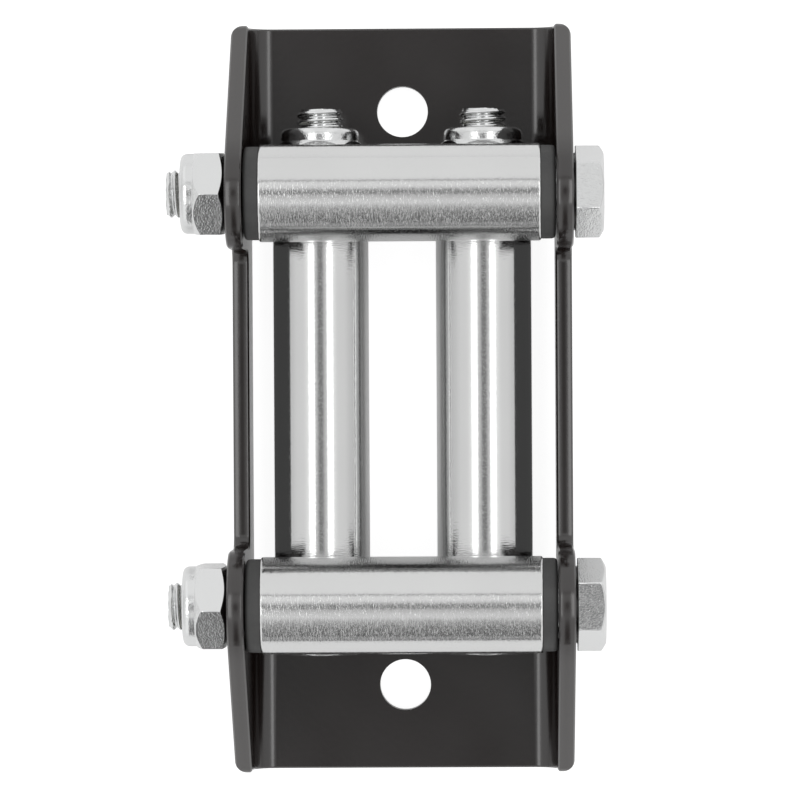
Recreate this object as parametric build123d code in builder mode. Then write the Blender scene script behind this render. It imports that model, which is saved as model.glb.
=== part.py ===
from build123d import *
import os
from math import radians, tan

# Roller fairlead, lying on its back. The origin is the centre of the two mounting holes on the
# back face. +Z points out of the mounting face, towards the rope. +Y runs along the plate and
# +X across it. All sizes are millimetres.

# Bracket sheet
sheet = 3.5
inner_width = 65.5
flange_bend_radius = 5.0
hole_spacing = 124.0
mount_hole_diameter = 11.0
hole_to_plate_end = 18.0
flange_end_height = 15.5
flange_middle_height = 17.0
end_corner_radius = 3.0
plan_corner_radius = 2.7
ear_foot_radius = 3.0
ear_rim = 6.5
edge_bevel = 0.35

# Tabs that carry the long rollers
tab_bend_radius = 3.0
tab_corner_radius = 4.0
tab_past_cross_axis = 1.5
tab_to_cross_roller = 1.0
window_end_relief = 0.8

# Rollers
roller_diameter = 20.4
roller_wall = 2.5
roller_end_chamfer = 0.5
cross_roller_spacing = 86.4
long_roller_to_flange = 5.15
roller_gap = 0.7
end_float = 0.15

# Flanged bushings
bushing_inset = 0.4
bushing_flange = 3.1
bushing_spigot = 10.0
bushing_edge = 0.4
press_clearance = 0.01
running_clearance = 0.08

# Bolts
bolt_diameter = 10.0
bolt_hole_clearance = 0.25
bolt_end_chamfer = 1.2
across_flats = 17.0
head_height = 6.4
washer_face_height = 0.4
washer_face_inset = 0.4
hex_bevel_angle = 30.0
cross_bolt_protrusion = 2.9
long_bolt_protrusion = 4.0
head_to_tab_bend = 0.1

# Lock nuts with a nylon insert under the collar's lip
nut_hex_height = 6.8
nut_face_inset = 1.0
nut_collar_height = 2.8
nut_collar_inset = 0.1
nut_collar_bevel = 1.2
collar_bevel_angle = 45.0
nut_bore_clearance = 0.02
nut_lip_height = 0.9
nut_lip_overlap = 0.5
insert_height = 2.3
insert_wall = 1.4

# How each hexagon stands, as the angle from the axle's first direction to a corner: from +Y on
# the cross fasteners, as they were left, and from +Z on the long ones, flat side to the plate
head_angle = {"upper_cross": -53.0, "lower_cross": 0.0, "left_long": 30.0, "right_long": 30.0}
nut_angle = {"upper_cross": -93.0, "lower_cross": -94.0, "left_long": 30.0, "right_long": 30.0}

# Two points nearer than this are the same place
same_place = 0.001

# Places that follow from the sizes above
roller_radius = roller_diameter / 2
roller_bore_radius = roller_radius - roller_wall
bolt_radius = bolt_diameter / 2
bolt_hole_radius = bolt_radius + bolt_hole_clearance
flange_inner_x = inner_width / 2
flange_outer_x = flange_inner_x + sheet
bend_top_z = sheet + flange_bend_radius
plate_end_y = hole_spacing / 2 + hole_to_plate_end
ear_radius = bolt_radius + ear_rim
long_axis_x = flange_inner_x - long_roller_to_flange - roller_radius
long_axis_z = sheet + tab_bend_radius + head_to_tab_bend + across_flats / 2
cross_axis_y = cross_roller_spacing / 2
cross_axis_z = long_axis_z + roller_diameter + roller_gap
ear_top_z = cross_axis_z + ear_radius
tab_inner_y = cross_axis_y + tab_past_cross_axis
tab_outer_y = tab_inner_y + sheet
tab_top_z = cross_axis_z - roller_radius - tab_to_cross_roller
tab_width = inner_width - 2 * flange_bend_radius
window_end_y = tab_outer_y + tab_bend_radius + window_end_relief
nut_height = nut_hex_height + nut_collar_height
insert_radius = bolt_radius + nut_bore_clearance + insert_wall
insert_start = nut_height - nut_lip_height - insert_height
head_face_radius = across_flats / 2 - washer_face_inset
nut_face_radius = across_flats / 2 - nut_face_inset
nut_collar_radius = across_flats / 2 - nut_collar_inset

os.makedirs("parts", exist_ok=True)


def finish(part, name):
    """Label one piece and write it to its own file."""
    part.label = name
    export_step(part, f"parts/{name}.step")


def at_height(vertices, height):
    """The corners of a flat outline at one height."""
    return vertices.filter_by(lambda v: abs(v.Y - height) < same_place)


def on_flange_rim(edge):
    """True for a cut edge of a flange, above its bend."""
    box = edge.bounding_box()
    sides = [abs(box.min.X), abs(box.max.X)]
    on_inner_face = max(abs(x - flange_inner_x) for x in sides) < same_place
    on_outer_face = max(abs(x - flange_outer_x) for x in sides) < same_place
    on_bend_line = box.max.Z < bend_top_z + same_place
    above_bend = box.min.Z > bend_top_z - same_place
    return (on_inner_face or on_outer_face) and above_bend and not on_bend_line


def on_plate_end(edge):
    """True for an edge of the plate's end face, bends included."""
    box = edge.bounding_box()
    at_end = abs(abs(box.center().Y) - plate_end_y) < same_place
    return at_end and box.max.Z < bend_top_z + same_place


# Bracket: a channel with a shaped side outline, a rope window and two tabs
with BuildPart() as bracket:
    with BuildSketch(Plane.XZ):
        with BuildLine():
            FilletPolyline(
                (-flange_outer_x, ear_top_z),
                (-flange_outer_x, 0),
                (flange_outer_x, 0),
                (flange_outer_x, ear_top_z),
                radius=flange_bend_radius + sheet,
            )
            offset(amount=sheet, side=Side.LEFT)
        make_face()
    extrude(amount=plate_end_y, both=True)

    # Each ear is a round lobe with a straight slope down to the plate's end
    with BuildSketch(Plane.YZ) as side_outline:
        with Locations((cross_axis_y, cross_axis_z)):
            Circle(ear_radius)
        with Locations((cross_axis_y, 0)):
            Rectangle(2 * ear_radius, cross_axis_z, align=(Align.CENTER, Align.MIN))
            Rectangle(
                plate_end_y - cross_axis_y, flange_end_height, align=(Align.MIN, Align.MIN)
            )
        make_hull()
        mirror(about=Plane.YZ)
        Rectangle(
            2 * cross_axis_y,
            flange_middle_height,
            align=(Align.CENTER, Align.MIN),
        )
        fillet(at_height(side_outline.vertices(), flange_middle_height), ear_foot_radius)
        fillet(at_height(side_outline.vertices(), flange_end_height), end_corner_radius)
    extrude(amount=flange_outer_x, both=True, mode=Mode.INTERSECT)

    # The rope window takes the plate and its bends out, flush with the flanges' inner faces
    with BuildSketch():
        Rectangle(inner_width, 2 * window_end_y)
    extrude(amount=flange_middle_height, both=True, mode=Mode.SUBTRACT)

    # A tab bends up from the plate at each end of the window
    with BuildSketch(Plane.YZ):
        with BuildLine():
            FilletPolyline(
                (window_end_y, 0),
                (tab_inner_y, 0),
                (tab_inner_y, tab_top_z),
                radius=tab_bend_radius + sheet,
            )
            offset(amount=sheet, side=Side.RIGHT)
        make_face()
        mirror(about=Plane.YZ)
    extrude(amount=tab_width / 2, both=True)
    tab_corners = bracket.edges().filter_by(Axis.Y).filter_by_position(
        Axis.Z, tab_top_z - same_place, tab_top_z + same_place
    )
    fillet(tab_corners, tab_corner_radius)

    # The sheet's cut edges are broken, all along the flanges and across the ends
    rim = bracket.edges().filter_by(on_flange_rim) + bracket.edges().filter_by(on_plate_end)
    chamfer(rim, edge_bevel)
    with BuildSketch():
        RectangleRounded(2 * flange_outer_x, 2 * plate_end_y, plan_corner_radius)
    extrude(amount=ear_top_z, mode=Mode.INTERSECT)

    # Holes for the mounting bolts, the cross bolts and the long bolts
    with Locations((0, hole_spacing / 2), (0, -hole_spacing / 2)):
        Hole(mount_hole_diameter / 2)
    with BuildSketch(Plane.YZ):
        with Locations((cross_axis_y, cross_axis_z), (-cross_axis_y, cross_axis_z)):
            Circle(bolt_hole_radius)
    extrude(amount=flange_outer_x, both=True, mode=Mode.SUBTRACT)
    with BuildSketch(Plane.XZ):
        with Locations((long_axis_x, long_axis_z), (-long_axis_x, long_axis_z)):
            Circle(bolt_hole_radius)
    extrude(amount=tab_outer_y, both=True, mode=Mode.SUBTRACT)
finish(bracket.part, "bracket")


def make_tube(name, middle, length):
    """A roller's tube, centred on its middle plane."""
    with BuildPart() as tube:
        with BuildSketch(middle):
            Circle(roller_radius)
            Circle(roller_bore_radius, mode=Mode.SUBTRACT)
        extrude(amount=length / 2, both=True)
        outer_rims = tube.edges().filter_by(GeomType.CIRCLE).sort_by(SortBy.RADIUS)[-2:]
        chamfer(outer_rims, roller_end_chamfer)
    finish(tube.part, name)


def circles_along(part, plane):
    """A turned part's circles, in order along the plane's normal."""
    return part.edges().filter_by(GeomType.CIRCLE).sort_by(Axis(plane.origin, plane.z_dir))


def make_bushing(name, tube_end):
    """A flanged bushing. Its flange lies on the tube's end and its spigot is pressed inside."""
    with BuildPart() as bushing:
        with BuildSketch(tube_end):
            Circle(roller_radius - bushing_inset)
        extrude(amount=bushing_flange)
        with BuildSketch(tube_end):
            Circle(roller_bore_radius - press_clearance)
        extrude(amount=-bushing_spigot)
        chamfer(circles_along(bushing, tube_end)[-1], bushing_edge)
        with Locations(tube_end):
            Hole(bolt_radius + running_clearance)
    finish(bushing.part, name)


def bevel_hexagon(start, height, face_radius, bevel_angle, narrow_at_start=True):
    """Turn the corners of a hexagon down at one end, as a lathe does."""
    wide_radius = face_radius + height / tan(radians(bevel_angle))
    with Locations(start):
        Cone(
            face_radius if narrow_at_start else wide_radius,
            wide_radius if narrow_at_start else face_radius,
            height,
            align=(Align.CENTER, Align.CENTER, Align.MIN),
            mode=Mode.INTERSECT,
        )


def make_bolt(name, head_top, length, corner_angle):
    """A hexagon bolt. The plane is the head's top, and its normal points to the nut."""
    hex_height = head_height - washer_face_height
    with BuildPart() as bolt:
        with BuildSketch(head_top):
            RegularPolygon(across_flats / 2, 6, major_radius=False, rotation=corner_angle)
        extrude(amount=hex_height)
        bevel_hexagon(head_top, hex_height, head_face_radius, hex_bevel_angle)
        with BuildSketch(head_top):
            Circle(head_face_radius)
        extrude(amount=head_height)
        with BuildSketch(head_top):
            Circle(bolt_radius)
        extrude(amount=head_height + length)
        chamfer(circles_along(bolt, head_top)[-1], bolt_end_chamfer)
    finish(bolt.part, name)


def make_lock_nut(name, seat, corner_angle):
    """A lock nut on the sheet's outer face, with a groove for its insert under the lip."""
    with BuildPart() as nut:
        with BuildSketch(seat):
            RegularPolygon(across_flats / 2, 6, major_radius=False, rotation=corner_angle)
        extrude(amount=nut_hex_height)
        bevel_hexagon(seat, nut_hex_height, nut_face_radius, hex_bevel_angle)
        bevel_hexagon(seat, nut_hex_height, nut_collar_radius, collar_bevel_angle, False)
        with BuildSketch(seat.offset(nut_hex_height)):
            Circle(nut_collar_radius)
        extrude(amount=nut_collar_height)
        chamfer(circles_along(nut, seat)[-1], nut_collar_bevel)
        with BuildSketch(seat):
            Circle(bolt_radius + nut_bore_clearance)
        extrude(amount=nut_height, mode=Mode.SUBTRACT)
        with BuildSketch(seat.offset(insert_start)):
            Circle(insert_radius)
        extrude(amount=insert_height, mode=Mode.SUBTRACT)
        with BuildSketch(seat.offset(insert_start)):
            Circle(insert_radius - nut_lip_overlap)
        extrude(amount=insert_height + nut_lip_height, mode=Mode.SUBTRACT)
    finish(nut.part, name)


def make_insert(name, seat):
    """The nylon ring in a lock nut's groove."""
    with BuildPart() as insert:
        with BuildSketch(seat.offset(insert_start)):
            Circle(insert_radius - press_clearance)
            Circle(bolt_radius + nut_bore_clearance, mode=Mode.SUBTRACT)
        extrude(amount=insert_height)
    finish(insert.part, name)


def make_axle(name, centre, to_nut, angle_from, half_grip, protrusion):
    """One roller with its bushings, and the bolt and lock nut that it turns on."""
    half_tube = half_grip - sheet - bushing_flange - end_float
    middle = Plane(origin=centre, x_dir=angle_from, z_dir=to_nut)
    nut_seat = middle.offset(half_grip)
    bolt_length = 2 * half_grip + nut_height + protrusion
    make_tube(f"{name}_roller", middle, 2 * half_tube)
    make_bushing(f"{name}_bushing_nut_end", middle.offset(half_tube))
    head_end = Plane(origin=centre, x_dir=angle_from, z_dir=-to_nut).offset(half_tube)
    make_bushing(f"{name}_bushing_head_end", head_end)
    make_bolt(f"{name}_bolt", middle.offset(-half_grip - head_height), bolt_length, head_angle[name])
    make_lock_nut(f"{name}_lock_nut", nut_seat, nut_angle[name])
    make_insert(f"{name}_nut_insert", nut_seat)


# Cross rollers lie in front, with their nuts on the left
for name, side in (("upper_cross", 1), ("lower_cross", -1)):
    centre = Vector(0, side * cross_axis_y, cross_axis_z)
    make_axle(name, centre, Vector(-1, 0, 0), Vector(0, 1, 0), flange_outer_x, cross_bolt_protrusion)

# Long rollers lie behind them, with their nuts at the top
for name, side in (("left_long", -1), ("right_long", 1)):
    centre = Vector(side * long_axis_x, 0, long_axis_z)
    make_axle(name, centre, Vector(0, 1, 0), Vector(0, 0, 1), tab_outer_y, long_bolt_protrusion)
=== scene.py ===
# %% [markdown]
# # A roller fairlead
#
# A roller fairlead guides a winch's rope. Two long rollers keep the rope from the bracket's sides
# and two cross rollers, in front of them, from its ends. Here it lies on its back on a pale floor
# and the camera looks straight down on it.
#
# The solids come from a CAD model, packed as a fixed frame. This notebook keeps their places and
# sizes and makes what a CAD model leaves out: threads, rounded edges, plated and coated surfaces.
# Blender counts in metres, so a size is written as 3.5 * mm.

from math import atan2, cos, pi, radians, sin, tan

import bmesh
import bpy
from mathutils import Matrix, Vector


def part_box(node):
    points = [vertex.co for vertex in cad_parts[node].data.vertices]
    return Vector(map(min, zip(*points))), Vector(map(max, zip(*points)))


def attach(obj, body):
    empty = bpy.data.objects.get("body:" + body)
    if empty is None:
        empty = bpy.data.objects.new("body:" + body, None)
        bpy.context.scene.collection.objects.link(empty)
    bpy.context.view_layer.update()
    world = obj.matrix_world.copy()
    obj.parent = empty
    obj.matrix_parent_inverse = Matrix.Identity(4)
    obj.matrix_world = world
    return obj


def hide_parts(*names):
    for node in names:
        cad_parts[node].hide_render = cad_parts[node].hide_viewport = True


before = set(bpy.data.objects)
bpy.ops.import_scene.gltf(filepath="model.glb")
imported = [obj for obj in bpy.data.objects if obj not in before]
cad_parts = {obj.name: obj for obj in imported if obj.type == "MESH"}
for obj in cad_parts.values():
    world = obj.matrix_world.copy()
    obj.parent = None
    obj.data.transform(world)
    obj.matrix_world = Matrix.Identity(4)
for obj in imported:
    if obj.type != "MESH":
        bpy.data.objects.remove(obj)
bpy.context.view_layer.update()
mm = 0.001


# %% [markdown]
# ## The camera
#
# The photograph was taken from about a metre above the floor, from a little to the right of the
# middle, so we see a strip of the left flange's inner face and none of the right one's. A long
# lens at that distance keeps the rollers nearly parallel. Such a camera could be turned with
# angles. Two points, where it stands and where it looks, are easier to read and to correct. The
# lens is in millimetres, as on a real camera, and a slight roll levels the rollers.


# %% Set the camera
def show(name, data):
    """An object for a camera, a lamp or a mesh, linked to the scene."""
    shown = bpy.data.objects.new(name, data)
    bpy.context.collection.objects.link(shown)
    return shown


camera_place = Vector((19.3, 4.8, 1007.6)) * mm
camera_target = Vector((-0.93, -0.40, 0.0)) * mm
camera_roll = radians(-0.32)
camera_lens = 208.8

looking = (camera_target - camera_place).normalized()
level_right = looking.cross(Vector((0, 1, 0))).normalized()
level_up = level_right.cross(looking)
right = level_right * cos(camera_roll) + level_up * sin(camera_roll)
up = level_up * cos(camera_roll) - level_right * sin(camera_roll)

camera = show("camera", bpy.data.cameras.new("camera"))
camera.data.lens = camera_lens
turned = Matrix((right, up, -looking)).transposed().to_4x4()
camera.matrix_world = Matrix.Translation(camera_place) @ turned
bpy.context.scene.camera = camera
bpy.context.scene.view_settings.view_transform = "Standard"
print("camera distance in mm:", round((camera_target - camera_place).length / mm))

# %% [markdown]
# ## Small helpers for nodes
#
# Materials, the sky and Geometry Nodes are all built from nodes. A helper that makes one node and
# fills its inputs, each from a plain value or from another node's output, keeps every later cell
# to a few readable lines.


# %% Node helpers
def feed(tree, socket, value):
    """Fill a node's input from another node's output or with a plain value."""
    if isinstance(value, bpy.types.NodeSocket):
        tree.links.new(value, socket)
    else:
        socket.default_value = value


def add_node(tree, kind, inputs=None, **settings):
    """Make a node, set its options, and fill its inputs by name or by number."""
    node = tree.nodes.new(kind)
    for name, value in settings.items():
        setattr(node, name, value)
    for name, value in (inputs or {}).items():
        feed(tree, node.inputs[name], value)
    return node


def calculate(tree, operation, *values):
    """One Math node, and its result."""
    inputs = dict(enumerate(values))
    return add_node(tree, "ShaderNodeMath", inputs, operation=operation).outputs[0]


def colour_ramp(tree, factor, stops):
    """A Color Ramp whose stops are given as (place, grey or colour)."""
    ramp = add_node(tree, "ShaderNodeValToRGB", {"Fac": factor})
    elements = ramp.color_ramp.elements
    for _ in stops[2:]:
        elements.new(1.0)
    for element, (place, shade) in zip(elements, stops):
        element.position = place
        rgb = (shade, shade, shade) if isinstance(shade, (int, float)) else shade
        element.color = (*rgb, 1.0)
    return ramp.outputs["Color"]


# %% [markdown]
# ## The studio
#
# Bright plating has hardly a colour of its own. It shows the room, so the room matters more here
# than any material. The photograph tells what stood round the object: two narrow white lamps, left
# and right of the lens, a large white card above the top end, a greyer one below the bottom end,
# and a dark spot straight overhead, which is the camera. Every card could be a plane with a light
# on it. A sky that changes with direction does the same, with fewer objects and less noise. Two
# lists hold its greys by angle: one runs from the bottom end over the top of the object to the top
# end, the other from straight up to the sides. The first is seen in a band over the middle, which
# is narrower towards the bottom end. A third holds one thin dark line that crosses the whole room,
# the seam between two cards, which both cross rollers mirror from end to end.


# %% Sky helpers
def smooth_step(tree, value, start, end):
    """0 before start and 1 after end, with an eased change between them."""
    inputs = {"Value": value, "From Min": start, "From Max": end}
    step = add_node(tree, "ShaderNodeMapRange", inputs, interpolation_type="SMOOTHSTEP")
    return step.outputs["Result"]


def mix_values(tree, factor, low, high):
    """A blend of two plain values, which are a Mix node's inputs 2 and 3."""
    return add_node(tree, "ShaderNodeMix", {0: factor, 2: low, 3: high}).outputs[0]


def grey_by_angle(tree, angle, stops):
    """A grey looked up by an angle in radians, from a list of (degrees, grey)."""
    first, last = stops[0][0], stops[-1][0]
    inputs = {"Value": angle, "From Min": radians(first), "From Max": radians(last)}
    share = add_node(tree, "ShaderNodeMapRange", inputs).outputs["Result"]
    # The ramp holds every grey halved, so that none of them lies above 1
    halved = [((place - first) / (last - first), grey / 2) for place, grey in stops]
    return calculate(tree, "MULTIPLY", colour_ramp(tree, share, halved), 2)


# %% Build the sky
end_to_end = [
    (-90, 0.24),
    (-80, 0.38),
    (-75, 0.16),
    (-60, 0.18),
    (-48, 0.26),
    (-38, 0.43),
    (-31, 0.68),
    (-25, 0.94),
    (-17, 0.90),
    (-12, 0.74),
    (8, 0.82),
    (15, 1.08),
    (24, 1.07),
    (38, 1.12),
    (90, 1.10),
]
up_to_side = [(0, 1.15), (28, 1.25), (33, 1.2), (41, 1.03), (60, 1.0), (73, 0.88), (90, 0.80)]
card_seam = [(24, 1.0), (27.5, 0.43), (31, 1.0)]

# Each pair of angles is where an eased change starts and where it ends
band_edge = (radians(12), radians(18))
narrower_by = radians(7.5)
narrower_from = (radians(-16), radians(-28))
camera_grey = 0.28
camera_edge = (radians(10), radians(4.5))

world = bpy.data.worlds.new("studio")
world.use_nodes = True
bpy.context.scene.world = world
sky = world.node_tree
sky.nodes.clear()

direction = add_node(sky, "ShaderNodeTexCoord").outputs["Generated"]
towards = add_node(sky, "ShaderNodeSeparateXYZ", {0: direction}).outputs
lean_y = calculate(sky, "ARCTAN2", towards["Y"], towards["Z"])
lean_x = calculate(sky, "ARCSINE", calculate(sky, "ABSOLUTE", towards["X"]))
from_overhead = calculate(sky, "ARCCOSINE", towards["Z"])

# The middle band ends at an angle to the side, sooner towards the bottom end
narrowing = smooth_step(sky, lean_y, *narrower_from)
from_band = calculate(sky, "MULTIPLY_ADD", narrowing, narrower_by, lean_x)
is_side = smooth_step(sky, from_band, *band_edge)
over_middle = grey_by_angle(sky, lean_y, end_to_end)
over_side = grey_by_angle(sky, lean_x, up_to_side)
room = mix_values(sky, is_side, over_middle, over_side)
room = calculate(sky, "MULTIPLY", room, grey_by_angle(sky, lean_y, card_seam))
is_camera = smooth_step(sky, from_overhead, *camera_edge)
room = mix_values(sky, is_camera, room, camera_grey)

# Wherever the camera looks past the floor, the background is white
looked_at = add_node(sky, "ShaderNodeLightPath").outputs["Is Camera Ray"]
room = mix_values(sky, looked_at, room, 1.0)
background = add_node(sky, "ShaderNodeBackground", {"Color": room})
add_node(sky, "ShaderNodeOutputWorld", {"Surface": background.outputs[0]})
print("sky nodes:", len(sky.nodes))

# %% [markdown]
# ## The two strip lamps
#
# They make the pairs of white lines along the long rollers and the soft lines in the bracket's
# bends. They could be two more greys in the sky, but a lamp is sampled directly, which leaves less
# noise. Each is an area lamp a metre up. A reflection leans twice as far as the surface does, so
# where a white line starts and ends on a roller gives the lamp's two edges, 15.5 and 28 degrees
# from straight up.

# %% Hang the lamps
lamp_height = 1.0
lamp_inner_lean = radians(15.5)
lamp_outer_lean = radians(28)
lamp_length = 0.9
lamp_radiance = 1.9

lamp_near = lamp_height * tan(lamp_inner_lean)
lamp_far = lamp_height * tan(lamp_outer_lean)
for name, side in (("left_lamp", -1), ("right_lamp", 1)):
    shape = bpy.data.lights.new(name, "AREA")
    shape.shape = "RECTANGLE"
    shape.size, shape.size_y = lamp_far - lamp_near, lamp_length
    shape.energy = lamp_radiance * pi * shape.size * shape.size_y
    lamp = show(name, shape)
    lamp.location = (side * (lamp_near + lamp_far) / 2, 0, lamp_height)
print("lamp width in mm:", round((lamp_far - lamp_near) / mm))

# %% [markdown]
# ## The floor
#
# The photograph's background is plain white, and the object hardly darkens it. A floor that only
# glowed would lose the shadow, and the object would float. A floor that only reflected light would
# turn grey between the rollers. So the floor does both. For the camera most of its white is its
# own. In a reflection it is nearly as white, but the object's shadow shows more, as it does on the
# undersides of the rollers. From below it is clear, so that the bracket's back can be looked at.

# %% Lay the floor
floor_size = 12.0
floor_drop = 0.05 * mm

# A glow is the floor's own light, and a shade is how much of the light on it the floor gives back
camera_glow, camera_shade = 0.9, 0.30
mirror_glow, mirror_shade = 0.20, 0.74
plain_shade = 0.8


def new_material(name):
    """A material with an empty node tree."""
    made = bpy.data.materials.new(name)
    made.use_nodes = True
    made.node_tree.nodes.clear()
    return made


def place_card(name, corners, material):
    """A flat card from its four corners, linked to the scene."""
    mesh = bpy.data.meshes.new(name)
    mesh.from_pydata(corners, [], [(0, 1, 2, 3)])
    mesh.materials.append(material)
    card = show(name, mesh)
    return card


def front_only(tree, shader):
    """Show a shader on a face's front, and leave its back clear."""
    clear = add_node(tree, "ShaderNodeBsdfTransparent")
    is_back = add_node(tree, "ShaderNodeNewGeometry").outputs["Backfacing"]
    sides = {0: is_back, 1: shader.outputs[0], 2: clear.outputs[0]}
    mixed = add_node(tree, "ShaderNodeMixShader", sides)
    add_node(tree, "ShaderNodeOutputMaterial", {"Surface": mixed.outputs[0]})


white_floor = new_material("white_floor")
tree = white_floor.node_tree
path = add_node(tree, "ShaderNodeLightPath").outputs
looked_at = path["Is Camera Ray"]
mirrored = calculate(tree, "MAXIMUM", path["Is Glossy Ray"], path["Is Transmission Ray"])
own_light = mix_values(tree, mirrored, 0.0, mirror_glow)
own_light = mix_values(tree, looked_at, own_light, camera_glow)
shade = mix_values(tree, mirrored, plain_shade, mirror_shade)
shade = mix_values(tree, looked_at, shade, camera_shade)
glow = add_node(tree, "ShaderNodeEmission", {"Strength": own_light})
lit = add_node(tree, "ShaderNodeBsdfDiffuse", {"Color": shade})
both = add_node(tree, "ShaderNodeAddShader", {0: glow.outputs[0], 1: lit.outputs[0]})
front_only(tree, both)

half = floor_size / 2
corners = [(-half, -half), (half, -half), (half, half), (-half, half)]
place_card("floor", [(x, y, -floor_drop) for x, y in corners], white_floor)
print("floor:", floor_size, "m square,", len(tree.nodes), "nodes")

# %% [markdown]
# ## Dark cards
#
# On white paper a bright roller would melt into its background. Photographers stand low black
# cards beside it, and its edges turn dark. The photograph shows such edges on the outer sides of
# the two long rollers, and none on the nuts and heads beyond the rollers' ends. A darker sky at the
# sides would reach those too, and so there are two short cards. They stand just inside the flanges,
# black towards the rollers and clear from behind, or the flanges would mirror them as dark patches.
# Only reflections see them, so no view of the object has them standing about.

# %% Stand the dark cards
card_height = 24.7 * mm
card_half_length = 33 * mm
card_x = 32.2 * mm
card_grey = (0.075, 0.075, 0.075, 1)

card_black = new_material("card_black")
tree = card_black.node_tree
front_only(tree, add_node(tree, "ShaderNodeEmission", {"Color": card_grey}))
for name, side in (("left_card", -1), ("right_card", 1)):
    start = (side * card_x, side * card_half_length)
    end = (side * card_x, -side * card_half_length)
    corners = [(*start, 0), (*end, 0), (*end, card_height), (*start, card_height)]
    card = place_card(name, corners, card_black)
    for rays in ("camera", "diffuse", "transmission", "shadow"):
        setattr(card, f"visible_{rays}", False)
print("dark cards in mm:", round(2 * card_half_length / mm, 1), "by", round(card_height / mm, 1))

# %% [markdown]
# ## Powder coat
#
# The bracket is steel sheet under black powder coat, a plastic skin baked on. It is never quite
# flat: it pulls itself into low waves about a millimetre across, which makers call orange peel.
# A flat black would look like paper. A dark base with a clear plastic gloss, broken by those low
# waves in the bump, gives the soft lines in the bends and the faint mottle on the plate.
#
# The flanges' cut edges aren't flat. Cutting left them a little crowned, and so each mirrors both
# lamps as two light lines with a dark one between. A crown of a fifth of a millimetre is too low to
# be worth modelling: a second bump, a parabola across the sheet, bends the light as it would. On
# the four long slopes, which face up, the base colour is painted greyer: a painted sheen for the
# room's light that they mirror. Height, facing and distance from the middle together find them.


# %% Surface helpers
noise_low, noise_high = 0.35, 0.65


def grain(tree, size, detail=2.0):
    """Noise with cells of about one size, in the piece's own metres."""
    place = add_node(tree, "ShaderNodeTexCoord").outputs["Object"]
    inputs = {"Vector": place, "Scale": 1 / size, "Detail": detail}
    return add_node(tree, "ShaderNodeTexNoise", inputs).outputs["Fac"]


def bump(tree, height, depth, **others):
    """Turn a height from 0 to 1 into a bump of a real depth."""
    inputs = {"Height": height, "Distance": depth, **others}
    return add_node(tree, "ShaderNodeBump", inputs).outputs["Normal"]


def between(tree, noise, low, high):
    """Spread the range in which noise mostly lies over a range of values."""
    noise_range = {"Value": noise, "From Min": noise_low, "From Max": noise_high}
    inputs = {**noise_range, "To Min": low, "To Max": high}
    return add_node(tree, "ShaderNodeMapRange", inputs).outputs["Result"]


def two_tones(tree, noise, dark, light):
    """Spread the range in which noise mostly lies over two colours."""
    return colour_ramp(tree, noise, [(noise_low, dark), (noise_high, light)])


def finish_material(tree, **inputs):
    """Close a material with one Principled shader."""
    named = {name.replace("_", " "): value for name, value in inputs.items()}
    shader = add_node(tree, "ShaderNodeBsdfPrincipled", named)
    add_node(tree, "ShaderNodeOutputMaterial", {"Surface": shader.outputs[0]})


# %% Tell the coat's places apart
# Each pair is where an eased change starts and where it ends
slope_from_middle = (50 * mm, 56 * mm)
slope_above_plate = (11 * mm, 13 * mm)
facing_up = (0.35, 0.6)

powder_coat = new_material("black_powder_coat")
tree = powder_coat.node_tree
surface = add_node(tree, "ShaderNodeTexCoord").outputs
at = add_node(tree, "ShaderNodeSeparateXYZ", {0: surface["Object"]}).outputs
facing = add_node(tree, "ShaderNodeSeparateXYZ", {0: surface["Normal"]}).outputs

from_middle = calculate(tree, "ABSOLUTE", at["Y"])
is_outside = smooth_step(tree, from_middle, *slope_from_middle)
is_high = smooth_step(tree, at["Z"], *slope_above_plate)
faces_up = smooth_step(tree, facing["Z"], *facing_up)
# This mask marks the upward-facing slopes, where a greyer base colour is a painted sheen
painted_sheen_mask = calculate(tree, "MULTIPLY", is_outside, is_high)
painted_sheen_mask = calculate(tree, "MULTIPLY", painted_sheen_mask, faces_up)
print("nodes that find the slopes:", len(tree.nodes))

# %% Mix the powder coat
peel_size = 1.1 * mm
peel_depth = 0.010 * mm
cloud_size = 25 * mm
crown_depth = 0.22 * mm
edge_middle_x = 34.5 * mm
half_sheet = 1.75 * mm
dark_coat = (0.0056, 0.0030, 0.0024)
light_coat = (0.0078, 0.0050, 0.0044)
# A painted sheen: the greyer colour painted on the upward-facing slopes for the light they mirror
painted_slope_sheen = (0.031, 0.028, 0.027, 1)
coat_roughness = (0.16, 0.19)
coat_ior = 1.69

# A Mix node for colours has them at its inputs 6 and 7
clouds = grain(tree, cloud_size)
# On the slopes the base colour is the painted sheen, elsewhere the coat's own uneven black
mixed = {0: painted_sheen_mask, 6: two_tones(tree, clouds, dark_coat, light_coat), 7: painted_slope_sheen}
coat_colour = add_node(tree, "ShaderNodeMix", mixed, data_type="RGBA").outputs[2]

# The crown is 1 in the middle of the sheet and 0 at its faces
across = calculate(tree, "ABSOLUTE", at["X"])
across = calculate(tree, "SUBTRACT", across, edge_middle_x)
across = calculate(tree, "DIVIDE", across, half_sheet)
fall = calculate(tree, "MULTIPLY", across, across)
crown = calculate(tree, "SUBTRACT", 1, fall)
crown = calculate(tree, "MAXIMUM", crown, 0)
crowned = bump(tree, crown, crown_depth, Strength=faces_up)

finish_material(
    tree,
    Base_Color=coat_colour,
    Roughness=between(tree, clouds, *coat_roughness),
    IOR=coat_ior,
    Normal=bump(tree, grain(tree, peel_size), peel_depth, Normal=crowned),
)
print("powder coat nodes:", len(tree.nodes))

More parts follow.
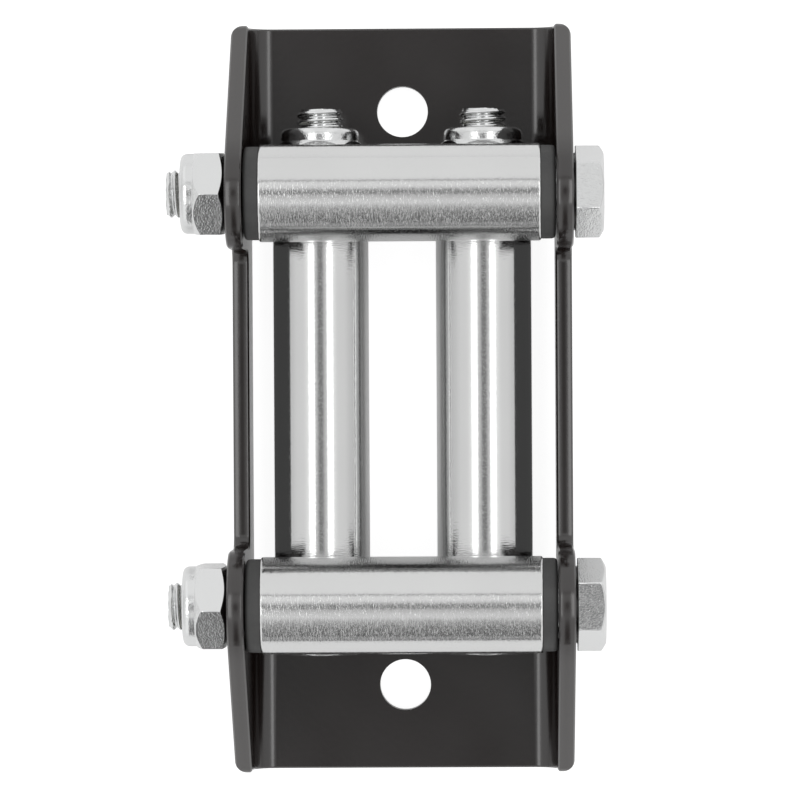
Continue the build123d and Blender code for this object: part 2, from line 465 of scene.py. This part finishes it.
# %% [markdown]
# ## The bracket
#
# One sheet, 3.5 mm thick, was cut, bent up at both sides and at the two tabs, and coated. Its
# shape is right in the CAD model, but the model's cut edges are flat bevels, and a coated edge is
# round. The bracket could be modelled again from a flat sheet. A copy of the CAD mesh is quicker
# and cannot leave the frame: its loose triangles are merged, flat regions become single faces, and
# a Bevel modifier then rounds every edge. Weighted normals keep the large faces flat.

# %% Helpers for finished pieces
cad_weld = 0.001 * mm
flat_angle = radians(1)


def merged_copy(node, name):
    """The CAD node's mesh with its triangles joined and its flat faces made whole."""
    mesh = bpy.data.meshes.new(name)
    shell = bmesh.new()
    shell.from_mesh(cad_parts[node].data)
    bmesh.ops.remove_doubles(shell, verts=shell.verts, dist=cad_weld)
    bmesh.ops.dissolve_limit(shell, angle_limit=flat_angle, verts=shell.verts, edges=shell.edges)
    shell.to_mesh(mesh)
    shell.free()
    return mesh


def link_piece(mesh, material, name):
    """An object at the origin, unturned, for a mesh that already lies in its place."""
    mesh.materials.clear()
    mesh.materials.append(material)
    return show(name, mesh)


def round_edges(piece, radius, steps, angle):
    """Round every edge that is sharper than an angle, and keep large faces flat."""
    rounding = piece.modifiers.new("rounding", "BEVEL")
    rounding.width = radius
    rounding.segments = steps
    rounding.limit_method = "ANGLE"
    rounding.angle_limit = angle
    rounding.miter_outer = "MITER_ARC"
    flat = piece.modifiers.new("flat_faces", "WEIGHTED_NORMAL")
    flat.keep_sharp = True


def bake(piece):
    """Apply a piece's modifiers through its evaluated mesh."""
    evaluated = piece.evaluated_get(bpy.context.evaluated_depsgraph_get())
    mesh = bpy.data.meshes.new_from_object(evaluated)
    piece.modifiers.clear()
    piece.data = mesh
    mesh.name = piece.name


def smooth_below(mesh, angle):
    """Smooth shading, except over edges sharper than an angle."""
    mesh.shade_smooth()
    mesh.set_sharp_from_angle(angle=angle)


# %% Round the bracket's edges
coat_rounding = 0.32 * mm
coat_rounding_steps = 3
coat_edge_angle = radians(30)
coat_smooth_angle = radians(60)

sheet = merged_copy("bracket", "coated_bracket")
bracket = link_piece(sheet, powder_coat, "coated_bracket")
round_edges(bracket, coat_rounding, coat_rounding_steps, coat_edge_angle)
smooth_below(bracket.data, coat_smooth_angle)
bake(bracket)
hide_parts("bracket")
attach(bracket, "frame")
print("bracket faces:", len(bracket.data.polygons))

# %% [markdown]
# ## A lathe in Geometry Nodes
#
# Rollers, bushings, nuts and bolt heads can all be made as if turned: one outline, swept round an
# axis. Blender's Spin tool and its Screw modifier do that, but only for plain rounds, and a
# hexagon isn't one. This lathe does both. It makes a grid, one column for each step round the axis
# and one row for each point of the outline, and moves every grid point to its place. An outline
# point says with an attribute how much it follows the hexagon, and another gives a bevel's slope
# there, so the curved bevels at a nut's corners come out by themselves.


# %% Geometry Nodes helpers
lathe_weld = 0.0005 * mm


def new_geometry_tree(name, inputs):
    """An empty Geometry Nodes tree with a geometry in and out and some named inputs."""
    made = bpy.data.node_groups.new(name, "GeometryNodeTree")
    interface = made.interface
    interface.new_socket("Geometry", in_out="INPUT", socket_type="NodeSocketGeometry")
    for socket_name, kind in inputs:
        interface.new_socket(socket_name, in_out="INPUT", socket_type=f"NodeSocket{kind}")
    interface.new_socket("Geometry", in_out="OUTPUT", socket_type="NodeSocketGeometry")
    given = made.nodes.new("NodeGroupInput").outputs
    return made, given


def end_tree(made, geometry, material, sharp_angle):
    """Weld the grid, smooth it below an angle, give it its material and close the tree."""
    inputs = {"Geometry": geometry, "Distance": lathe_weld}
    geometry = add_node(made, "GeometryNodeMergeByDistance", inputs).outputs[0]

    fold = add_node(made, "GeometryNodeInputMeshEdgeAngle").outputs["Unsigned Angle"]
    compared = {0: fold, 1: sharp_angle}
    is_smooth = add_node(made, "FunctionNodeCompare", compared, operation="LESS_THAN").outputs[0]
    for domain, smooth in (("FACE", True), ("EDGE", is_smooth)):
        inputs = {"Geometry": geometry, "Shade Smooth": smooth}
        geometry = add_node(made, "GeometryNodeSetShadeSmooth", inputs, domain=domain).outputs[0]

    geometry = add_node(made, "GeometryNodeRealizeInstances", {"Geometry": geometry}).outputs[0]
    inputs = {"Geometry": geometry, "Material": material}
    geometry = add_node(made, "GeometryNodeSetMaterial", inputs).outputs[0]
    add_node(made, "NodeGroupOutput", {0: geometry})


def row_and_share(made, steps):
    """A grid point's row, the number of points in a row, and the point's share of a turn."""
    index = add_node(made, "GeometryNodeInputIndex").outputs[0]
    columns = calculate(made, "ADD", steps, 1)
    # Half a point more, or a rounding error could put a point in the row before its own
    past_index = calculate(made, "ADD", index, 0.5)
    row = calculate(made, "FLOOR", calculate(made, "DIVIDE", past_index, columns))
    before_row = calculate(made, "MULTIPLY", row, columns)
    column = calculate(made, "SUBTRACT", index, before_row)
    return row, columns, calculate(made, "DIVIDE", column, steps)


def polar_place(made, radius, share, height):
    """A point from its radius, its share of a turn and its height."""
    angle = calculate(made, "MULTIPLY", share, 2 * pi)
    x = calculate(made, "MULTIPLY", radius, calculate(made, "COSINE", angle))
    y = calculate(made, "MULTIPLY", radius, calculate(made, "SINE", angle))
    return add_node(made, "ShaderNodeCombineXYZ", {0: x, 1: y, 2: height}).outputs[0]


def move_points(made, grid, place):
    """The grid with its points moved to their places."""
    inputs = {"Geometry": grid.outputs["Mesh"], "Position": place}
    return add_node(made, "GeometryNodeSetPosition", inputs).outputs[0]


# %% Let the lathe read its outline
lathe_inputs = [
    ("Steps", "Int"),
    ("Flat Radius", "Float"),
    ("Sharp Angle", "Float"),
    ("Material", "Material"),
]
lathe, given = new_geometry_tree("lathe", lathe_inputs)
outline = given["Geometry"]
count = add_node(lathe, "GeometryNodeAttributeDomainSize", {0: outline}).outputs["Point Count"]
row, columns, share = row_and_share(lathe, given["Steps"])
grid = add_node(lathe, "GeometryNodeMeshGrid", {"Vertices X": count, "Vertices Y": columns})


def from_outline(value, data_type):
    """What an outline point says, for every grid point of its row."""
    inputs = {"Geometry": outline, "Value": value, "Index": row}
    return add_node(lathe, "GeometryNodeSampleIndex", inputs, data_type=data_type).outputs[0]


def outline_attribute(name):
    """A number that the outline carries under a name."""
    field = add_node(lathe, "GeometryNodeInputNamedAttribute", {"Name": name}, data_type="FLOAT")
    return from_outline(field.outputs["Attribute"], "FLOAT")


point = add_node(lathe, "GeometryNodeInputPosition").outputs[0]
point = from_outline(point, "FLOAT_VECTOR")
point = add_node(lathe, "ShaderNodeSeparateXYZ", {0: point}).outputs
print("nodes that read the outline:", len(lathe.nodes))

# %% Let the lathe shape its grid
# How far round from the middle of its flat a point lies, from -30 to 30 degrees
flats = calculate(lathe, "MULTIPLY", share, 6)
flats = calculate(lathe, "ADD", flats, 0.5)
along_flat = calculate(lathe, "FRACT", flats)
along_flat = calculate(lathe, "SUBTRACT", along_flat, 0.5)
off_flat = calculate(lathe, "MULTIPLY", along_flat, pi / 3)

# A hexagon stands proud of the outline's round, and its bevel rises with that
hexagon = calculate(lathe, "DIVIDE", given["Flat Radius"], calculate(lathe, "COSINE", off_flat))
proud = calculate(lathe, "SUBTRACT", hexagon, point["X"])
proud = calculate(lathe, "MULTIPLY", proud, outline_attribute("hexagon"))
radius = calculate(lathe, "ADD", point["X"], proud)
rise = calculate(lathe, "MULTIPLY", proud, outline_attribute("slope"))
height = calculate(lathe, "ADD", point["Z"], rise)
turned = move_points(lathe, grid, polar_place(lathe, radius, share, height))
end_tree(lathe, turned, given["Material"], given["Sharp Angle"])
print("lathe nodes:", len(lathe.nodes))

# %% [markdown]
# ## From an outline to a piece
#
# An outline is a short list of points, each a radius and a height. A Bevel modifier could round
# its corners later. Here a formula does, so each corner can be chosen. Each round gets one row more
# just outside it on both sides, because smooth shading would otherwise bend the light over the
# whole length of a roller. The lathe's result becomes a plain mesh, turned and moved to its axle.


# %% Round an outline's corners
def rounded(points, radius, steps=4, hold=0.06 * mm):
    """An outline with some corners rounded, and an extra point outside each round.

    A point is (radius, height, is_rounded), and hold is the extra point's distance.
    """
    made = []
    for i, (x, z, is_rounded) in enumerate(points):
        here = Vector((x, z))
        if not is_rounded:
            made.append(here)
            continue
        before = (Vector(points[i - 1][:2]) - here).normalized()
        after = (Vector(points[(i + 1) % len(points)][:2]) - here).normalized()
        reach = radius / tan(before.angle(after) / 2)
        start, end = here + before * reach, here + after * reach
        made.append(start + before * hold)
        # A parabola that leaves one side and meets the other without a kink
        for k in range(steps + 1):
            t = k / steps
            made.append(start * (1 - t) ** 2 + here * 2 * t * (1 - t) + end * t**2)
        made.append(end + after * hold)
    return made


# %% Turn an outline
lathe_sharp_angle = radians(38)

# Steps round the axis
tube_steps = 128
hexagon_steps = 96
small_steps = 72


def set_input(modifier, name, value):
    """Set a Geometry Nodes input by its socket's identifier."""
    for item in modifier.node_group.interface.items_tree:
        if item.in_out == "INPUT" and item.name == name:
            modifier[item.identifier] = value


def run_tree(mesh, tree, name, **inputs):
    """Run a Geometry Nodes tree on a mesh and return the plain mesh that it makes."""
    carrier = show(name, mesh)
    modifier = carrier.modifiers.new(tree.name, "NODES")
    modifier.node_group = tree
    for key, value in inputs.items():
        set_input(modifier, key.replace("_", " "), value)
    bake(carrier)
    made = carrier.data
    bpy.data.objects.remove(carrier)
    return made


def turn(points, name, material, steps, flat_radius=1.0):
    """Run the lathe on an outline.

    A point is (radius, height), or (radius, height, share of the hexagon, bevel's slope).
    """
    full = [(*point, 0.0, 0.0)[:4] for point in points]
    mesh = bpy.data.meshes.new(name)
    mesh.from_pydata([(radius, 0, height) for radius, height, _, _ in full], [], [])
    for attribute, place in (("hexagon", 2), ("slope", 3)):
        data = mesh.attributes.new(attribute, "FLOAT", "POINT").data
        data.foreach_set("value", [point[place] for point in full])
    return run_tree(
        mesh,
        lathe,
        name,
        Steps=steps,
        Flat_Radius=flat_radius,
        Sharp_Angle=lathe_sharp_angle,
        Material=material,
    )


# %% Put a piece in its place
def extent(low, high, direction):
    """The middle of a box and its length along a direction."""
    return (low + high) / 2, abs((high - low).dot(direction))


def along(direction, place):
    """The matrix that stands a turned piece on a place, with its height along a direction."""
    lean = Vector((0, 0, 1)).rotation_difference(direction)
    return Matrix.Translation(place) @ lean.to_matrix().to_4x4()


def add_piece(mesh, name, body, slot, *nodes):
    """Show a finished mesh on a body in place of its CAD nodes."""
    piece = show(name, mesh)
    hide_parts(*nodes)
    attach(piece, body)


def outward(mesh):
    """Weld a shell and turn its faces outwards, and count its cubic millimetres and open edges."""
    shell = bmesh.new()
    shell.from_mesh(mesh)
    bmesh.ops.remove_doubles(shell, verts=shell.verts, dist=lathe_weld)
    bmesh.ops.recalc_face_normals(shell, faces=shell.faces)
    open_edges = sum(not edge.is_manifold for edge in shell.edges)
    volume = shell.calc_volume()
    shell.to_mesh(mesh)
    shell.free()
    return round(volume / mm**3), open_edges


# %% [markdown]
# ## Zinc plate on the rollers
#
# The rollers are cut from ground tube and zinc plated. Where the room is evenly bright the plating
# looks smooth, and where the room's light changes it sparkles. So the grain can't be a painted
# pattern, which would show everywhere. It has two causes, and both are here. Grinding left fine
# lines round the tube, which spread a reflection along it. They are noise stretched round the tube
# and squeezed along it, used as bump. And the plating has tiny frosted spots between bright ones,
# which is a change of roughness.

# %% Mix the zinc plate
line_width = 0.2 * mm
line_length = 1.5 * mm
line_depth = 0.032 * mm
roller_frost = 0.36 * mm
cross_roughness = (0.09, 0.22)
long_roughness = (0.09, 0.18)
roller_grey = (0.590, 0.592, 0.590)
frosted_noise = (0.48, 0.62)
cloud_shade = 0.97


def stretched_noise(tree, size):
    """Noise with cells of three different sizes along X, Y and Z, in the piece's own metres."""
    place = add_node(tree, "ShaderNodeTexCoord").outputs["Object"]
    per_cell = add_node(tree, "ShaderNodeCombineXYZ", {i: 1 / s for i, s in enumerate(size)})
    scaled = {0: place, 1: per_cell.outputs[0]}
    cells = add_node(tree, "ShaderNodeVectorMath", scaled, operation="MULTIPLY").outputs[0]
    inputs = {"Vector": cells, "Scale": 1.0}
    return add_node(tree, "ShaderNodeTexNoise", inputs).outputs["Fac"]


def zinc(name, colour, roughness, frost_size, cell, depth):
    """Zinc plate, bright with frosted spots, with bump cells of a given size and depth."""
    plate = new_material(name)
    tree = plate.node_tree
    frost = grain(tree, frost_size, detail=3.0)
    is_frosted = smooth_step(tree, frost, *frosted_noise)
    clouds = grain(tree, cloud_size)
    darker = [cloud_shade * part for part in colour]
    finish_material(
        tree,
        Base_Color=two_tones(tree, clouds, darker, colour),
        Metallic=1.0,
        Roughness=mix_values(tree, is_frosted, *roughness),
        Normal=bump(tree, stretched_noise(tree, cell), depth),
    )
    return plate


cross_lines = (line_width, line_length, line_length)
long_lines = (line_length, line_width, line_length)
cross_look = (roller_grey, cross_roughness, roller_frost, cross_lines, line_depth)
long_look = (roller_grey, long_roughness, roller_frost, long_lines, line_depth / 2)
roller_zinc = {
    "cross": zinc("zinc_cross_roller", *cross_look),
    "long": zinc("zinc_long_roller", *long_look),
}
print("zinc nodes:", len(roller_zinc["cross"].node_tree.nodes))

# %% [markdown]
# ## The rollers
#
# Four tubes, two across the bracket and two along it. Their length, radius and place are read
# from the frame. The wall and the rounded rim are the cut tube's own. A cylinder with a Boolean
# hole has nearly the same form, but the lathe rounds the rim in one go, and there a tube catches a
# thin line of light.

# %% Turn the rollers
tube_wall = 2.5 * mm
tube_rim = 0.5 * mm

to_nut = {
    "upper_cross": Vector((-1, 0, 0)),
    "lower_cross": Vector((-1, 0, 0)),
    "left_long": Vector((0, 1, 0)),
    "right_long": Vector((0, 1, 0)),
}

for axle, direction in to_nut.items():
    low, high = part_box(f"{axle}_roller")
    middle, length = extent(low, high, direction)
    half_length = length / 2
    outer = (high.z - low.z) / 2
    bore = outer - tube_wall
    section = rounded(
        [
            (bore, -half_length, False),
            (outer, -half_length, True),
            (outer, half_length, True),
            (bore, half_length, False),
        ],
        tube_rim,
    )
    side, kind = axle.split("_")
    mesh = turn([*section, section[0]], f"{axle}_tube", roller_zinc[kind], tube_steps)
    mesh.transform(along(direction, middle))
    volume, open_edges = outward(mesh)
    add_piece(mesh, f"{axle}_tube", f"{axle}_roller_body", "zinc_roller", f"{axle}_roller")
    print(axle, "tube: volume in cubic mm", volume, "open edges", open_edges)

# %% [markdown]
# ## Nylon for the bushings
#
# The bushings are moulded in black nylon: dull, dark grey rather than black, with a fine sandy
# skin from the mould. A rough plastic with a very fine bump gives that. The ring in each lock nut
# is the same plastic without the pigment, a warm white.

# %% Mix the nylon
skin_size = 0.25 * mm
skin_depth = 0.004 * mm
flow_size = 6 * mm


def moulded(name, dark, light, roughness):
    """Moulded nylon with a sandy skin, a little uneven in colour."""
    plastic = new_material(name)
    tree = plastic.node_tree
    skin = grain(tree, skin_size, detail=3.0)
    flow = grain(tree, flow_size)
    finish_material(
        tree,
        Base_Color=two_tones(tree, flow, dark, light),
        Roughness=between(tree, skin, *roughness),
        Normal=bump(tree, skin, skin_depth),
    )
    return plastic


black_nylon = moulded("black_nylon", (0.031, 0.031, 0.031), (0.041, 0.041, 0.040), (0.55, 0.70))
natural_nylon = moulded("natural_nylon", (0.66, 0.65, 0.60), (0.74, 0.73, 0.68), (0.38, 0.50))
print("nylon nodes:", len(black_nylon.node_tree.nodes))

# %% [markdown]
# ## The bushings
#
# Each tube end holds a flanged bushing: a spigot pressed into the tube, and a flange that keeps
# the steel tube off the steel bracket. The same lathe turns all eight, rounded at the edges as a
# moulding is, with a small lead-in cone at the bore.

# %% Turn the bushings
flange_inset = 0.4 * mm
spigot_length = 10.0 * mm
bushing_rounding = 1.0 * mm
bushing_rounding_steps = 5
bushing_lead_in = 0.4 * mm
bolt_radius = 5.0 * mm
running_clearance = 0.08 * mm
press_gap = 0.01 * mm

for axle, direction in to_nut.items():
    for end, side in (("nut_end", 1), ("head_end", -1)):
        node = f"{axle}_bushing_{end}"
        low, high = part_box(node)
        middle, length = extent(low, high, direction)
        inward = -side * direction
        outer_face = middle - inward * length / 2
        flange = length - spigot_length
        flange_radius = (high.z - low.z) / 2
        tube_bore = flange_radius + flange_inset - tube_wall
        spigot_radius = tube_bore - press_gap
        bore = bolt_radius + running_clearance
        section = rounded(
            [
                (bore + bushing_lead_in, 0, False),
                (flange_radius, 0, True),
                (flange_radius, flange, False),
                (spigot_radius, flange, False),
                (spigot_radius, length, True),
                (bore, length, False),
                (bore, bushing_lead_in, False),
            ],
            bushing_rounding,
            bushing_rounding_steps,
        )
        mesh = turn([*section, section[0]], node, black_nylon, small_steps)
        mesh.transform(along(inward, outer_face))
        volume, open_edges = outward(mesh)
        add_piece(mesh, f"{node}_moulding", f"{axle}_roller_body", "black_nylon", node)
    print(axle, "bushing: volume in cubic mm", volume, "open edges", open_edges)

# %% [markdown]
# ## A threaded rod in Geometry Nodes
#
# A thread is a ridge that climbs round the bolt, 1.5 mm for each turn. It could be cut with an
# array and a boolean. Here the rows of the lathe's grid climb by themselves: row after row follows
# the helix and goes in and out with the thread's form. Rows that would pass the bolt's end stop
# there, inside the end's bevel, and so the thread runs out over the bevel as a rolled one does.

# %% Lay out the thread's rows
# One turn more below the start and one above the end, and rows to close both ends
spare_turns = 2
closing_rows = 3

rod_inputs = [
    ("Radius", "Float"),
    ("Pitch", "Float"),
    ("Depth", "Float"),
    ("Start", "Float"),
    ("End", "Float"),
    ("Bevel", "Float"),
    ("Steps", "Int"),
    ("Rows per Turn", "Int"),
    ("Material", "Material"),
]
rod, given = new_geometry_tree("threaded_rod", rod_inputs)
thread_length = calculate(rod, "SUBTRACT", given["End"], given["Start"])
whole_turns = calculate(rod, "CEIL", calculate(rod, "DIVIDE", thread_length, given["Pitch"]))
turns = calculate(rod, "ADD", whole_turns, spare_turns)
climbing_rows = calculate(rod, "MULTIPLY", turns, given["Rows per Turn"])
rows = calculate(rod, "ADD", climbing_rows, closing_rows)
row, columns, share = row_and_share(rod, given["Steps"])
grid = add_node(rod, "GeometryNodeMeshGrid", {"Vertices X": rows, "Vertices Y": columns})

# Height of each row along the helix, kept between the thread's start and end
rows_climbed = calculate(rod, "SUBTRACT", row, 1)
turn_count = calculate(rod, "DIVIDE", rows_climbed, given["Rows per Turn"])
climbed = calculate(rod, "ADD", turn_count, share)
climbed = calculate(rod, "SUBTRACT", climbed, 1)
climbed = calculate(rod, "MULTIPLY", climbed, given["Pitch"])
free_height = calculate(rod, "ADD", given["Start"], climbed)
height = calculate(rod, "MAXIMUM", free_height, given["Start"])
height = calculate(rod, "MINIMUM", height, given["End"])
print("nodes that lay out the rows:", len(rod.nodes))

# %% Cut the thread's form
thread_sharp_angle = radians(32)
end_ring_gap = 0.05 * mm
nearly_at_end = 0.0001 * mm

# The form is 0 on the crest and 1 in the root, rounded by the plating as a wave is
wave = calculate(rod, "COSINE", calculate(rod, "MULTIPLY", turn_count, 2 * pi))
form = calculate(rod, "SUBTRACT", 1, wave)
form = calculate(rod, "DIVIDE", form, 2)

# It grows over the first pitch and stays under the end's bevel
grown = calculate(rod, "SUBTRACT", height, given["Start"])
grown = calculate(rod, "DIVIDE", grown, given["Pitch"])
grown = calculate(rod, "MINIMUM", grown, 1)
cut = calculate(rod, "MULTIPLY", form, given["Depth"])
cut = calculate(rod, "MULTIPLY", cut, grown)
ridge = calculate(rod, "SUBTRACT", given["Radius"], cut)
bevel_start = calculate(rod, "SUBTRACT", given["End"], given["Bevel"])
past_bevel = calculate(rod, "SUBTRACT", height, bevel_start)
past_bevel = calculate(rod, "MAXIMUM", past_bevel, 0)
cone = calculate(rod, "SUBTRACT", given["Radius"], past_bevel)
ridge = calculate(rod, "MINIMUM", ridge, cone)

# Rows that have reached the end lie on one ring, just under the thread's root
root = calculate(rod, "SUBTRACT", given["Radius"], given["Depth"])
end_ring = calculate(rod, "SUBTRACT", root, end_ring_gap)
end_height = calculate(rod, "SUBTRACT", given["End"], nearly_at_end)
at_end = calculate(rod, "GREATER_THAN", free_height, end_height)
ridge = mix_values(rod, at_end, ridge, end_ring)

# The first and the last row close the ends on the axis. Rows are counted in whole numbers, so a
# half between two of them tells them apart
is_first = calculate(rod, "LESS_THAN", row, 0.5)
before_last = calculate(rod, "SUBTRACT", rows, 1.5)
is_last = calculate(rod, "GREATER_THAN", row, before_last)
is_closing = calculate(rod, "MAXIMUM", is_first, is_last)
is_open = calculate(rod, "SUBTRACT", 1, is_closing)
ridge = calculate(rod, "MULTIPLY", ridge, is_open)
threaded = move_points(rod, grid, polar_place(rod, ridge, share, height))
end_tree(rod, threaded, given["Material"], thread_sharp_angle)
print("thread nodes:", len(rod.nodes))

# %% [markdown]
# ## Zinc plate on the bolts and nuts
#
# The fasteners are forged and rolled, then plated. The plating is a little lighter than the
# tubes'. Forging leaves small shallow dents on the hexagons' faces, which only show where the
# room's light changes, and the frosted spots are broader here. It is the rollers' plate again,
# with dents in place of the ground lines.

# %% Mix the fasteners' plate
dent_size = 0.36 * mm
dent_depth = 0.04 * mm
fastener_grey = (0.63, 0.635, 0.635)
fastener_roughness = (0.08, 0.17)
fastener_frost = 1.1 * mm

dents = (dent_size, dent_size, dent_size)
fastener_look = (fastener_grey, fastener_roughness, fastener_frost, dents, dent_depth)
fastener_zinc = zinc("zinc_fastener", *fastener_look)
print("fastener plate nodes:", len(fastener_zinc.node_tree.nodes))

# %% [markdown]
# ## The bolts
#
# A bolt is a hexagon head with a thin round washer face, a plain shank and a thread. The head could
# be a six-sided cylinder, but its corners are bevelled at 30 degrees, which cuts curves into the
# six flats. The lathe makes them when its outline is tied to the hexagon. How far each head is
# turned on its axle is read from the CAD mesh: the point farthest from the axis is a corner. A grid
# that climbs, as these do, has its faces inwards, so each part is turned outwards before they are
# joined, and the head before its edges are rounded.

# %% Hexagon helpers
flat_radius = 8.5 * mm
hex_face_radius = 8.1 * mm
hex_bevel = tan(radians(30))
hex_rounding = 0.32 * mm
hex_rounding_steps = 2
hex_edge_angle = radians(22)
half_flat_angle = radians(30)


def hexagon_turn(node, stand):
    """The turn that brings a lathe's hexagon, with a flat at angle 0, onto its CAD node's."""
    back = stand.inverted()
    local = [back @ v.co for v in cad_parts[node].data.vertices]
    corner = max(local, key=lambda v: v.x**2 + v.y**2)
    return Matrix.Rotation(atan2(corner.y, corner.x) + half_flat_angle, 4, "Z")


def soften(mesh, name, material):
    """Round a hexagon's edges a little and keep its faces flat."""
    piece = link_piece(mesh, material, name)
    round_edges(piece, hex_rounding, hex_rounding_steps, hex_edge_angle)
    bake(piece)
    softened = piece.data
    bpy.data.objects.remove(piece)
    return softened


def joined(meshes, name):
    """One mesh out of several."""
    whole = bmesh.new()
    for mesh in meshes:
        whole.from_mesh(mesh)
    result = bpy.data.meshes.new(name)
    whole.to_mesh(result)
    whole.free()
    result.materials.append(meshes[0].materials[0])
    return result


# %% Turn the bolts
head_height = 6.4 * mm
washer_face = 0.4 * mm
shank_overlap = 0.1 * mm
thread_on_bolt = 26.0 * mm
pitch = 1.5 * mm
thread_depth = 0.55 * mm
thread_rows_per_turn = 10
bolt_bevel = 0.7 * mm

hex_height = head_height - washer_face
head_outline = [
    (0, 0),
    (hex_face_radius, 0),
    (hex_face_radius, 0, 1.0, hex_bevel),
    (hex_face_radius, hex_height, 1.0),
    (hex_face_radius, hex_height),
    (hex_face_radius, head_height),
    (0, head_height),
]
shank_start = head_height - shank_overlap

for axle, direction in to_nut.items():
    node = f"{axle}_bolt"
    low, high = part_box(node)
    middle, length = extent(low, high, direction)
    stand = along(direction, middle - direction * length / 2)
    thread_start = length - thread_on_bolt

    head = turn(head_outline, f"{node}_head", fastener_zinc, hexagon_steps, flat_radius)
    head_volume, head_open = outward(head)
    head = soften(head, f"{node}_head", fastener_zinc)
    head.transform(hexagon_turn(node, stand))
    shank_outline = [
        (0, shank_start),
        (bolt_radius, shank_start),
        (bolt_radius, thread_start),
        (0, thread_start),
    ]
    shank = turn(shank_outline, f"{node}_shank", fastener_zinc, small_steps)
    shank_volume, shank_open = outward(shank)
    thread = run_tree(
        bpy.data.meshes.new(f"{node}_thread"),
        rod,
        f"{node}_thread",
        Radius=bolt_radius,
        Pitch=pitch,
        Depth=thread_depth,
        Start=thread_start,
        End=length,
        Bevel=bolt_bevel,
        Steps=small_steps,
        Rows_per_Turn=thread_rows_per_turn,
        Material=fastener_zinc,
    )
    thread_volume, thread_open = outward(thread)
    mesh = joined([head, shank, thread], node)
    mesh.transform(stand)
    add_piece(mesh, f"{node}_threaded", "frame", "zinc_fastener", node)
    print(node, "volumes in cubic mm", head_volume, shank_volume, thread_volume)
    print(node, "open edges", head_open, shank_open, thread_open)

# %% [markdown]
# ## The lock nuts
#
# A lock nut is a hexagon with a round collar on top, whose lip is rolled in over a nylon ring.
# The ring grips the thread, so the nut stays put without squeezing the bracket's ears together.
# They could be three meshes, one inside the other. The lathe turns hexagon, collar and lip as one
# outline, as they are one piece of steel, and the nylon ring is a piece of its own.

# %% Turn the lock nuts and their rings
nut_hex_height = 6.8 * mm
nut_face_radius = 7.5 * mm
collar_rounding = 1.6 * mm
collar_rounding_steps = 6
collar_radius = 8.4 * mm
collar_bevel = tan(radians(45))
lip_radius = 5.92 * mm
lip_height = 0.9 * mm
ring_height = 2.3 * mm
ring_radius = 6.42 * mm
ring_rounding = 0.5 * mm
nut_bore = 5.02 * mm
nut_lead_in = 0.6 * mm

for axle, direction in to_nut.items():
    node = f"{axle}_lock_nut"
    low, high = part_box(node)
    middle, height = extent(low, high, direction)
    stand = along(direction, middle - direction * height / 2)
    ring_top = height - lip_height
    ring_low = ring_top - ring_height
    collar = rounded(
        [
            (collar_radius, nut_hex_height, False),
            (collar_radius, height, True),
            (lip_radius, height, False),
        ],
        collar_rounding,
        collar_rounding_steps,
    )
    section = [
        (nut_bore + nut_lead_in, 0),
        (nut_face_radius, 0),
        (nut_face_radius, 0, 1.0, hex_bevel),
        (collar_radius, nut_hex_height, 1.0, -collar_bevel),
        *collar,
        (lip_radius, ring_top),
        (ring_radius, ring_top),
        (ring_radius, ring_low),
        (nut_bore, ring_low),
        (nut_bore, nut_lead_in),
    ]
    nut = turn([*section, section[0]], node, fastener_zinc, hexagon_steps, flat_radius)
    nut = soften(nut, node, fastener_zinc)
    nut.transform(stand @ hexagon_turn(node, stand))
    volume, open_edges = outward(nut)
    add_piece(nut, f"{node}_plated", "frame", "zinc_fastener", node)

    ring_outer = ring_radius - press_gap
    section = rounded(
        [
            (nut_bore, ring_low, False),
            (ring_outer, ring_low, False),
            (ring_outer, ring_top, False),
            (nut_bore, ring_top, True),
        ],
        ring_rounding,
    )
    ring = turn([*section, section[0]], f"{axle}_ring", natural_nylon, small_steps)
    ring.transform(stand)
    outward(ring)
    add_piece(ring, f"{axle}_nylon_ring", "frame", "natural_nylon", f"{axle}_nut_insert")
    print(axle, "nut: volume in cubic mm", volume, "open edges", open_edges)
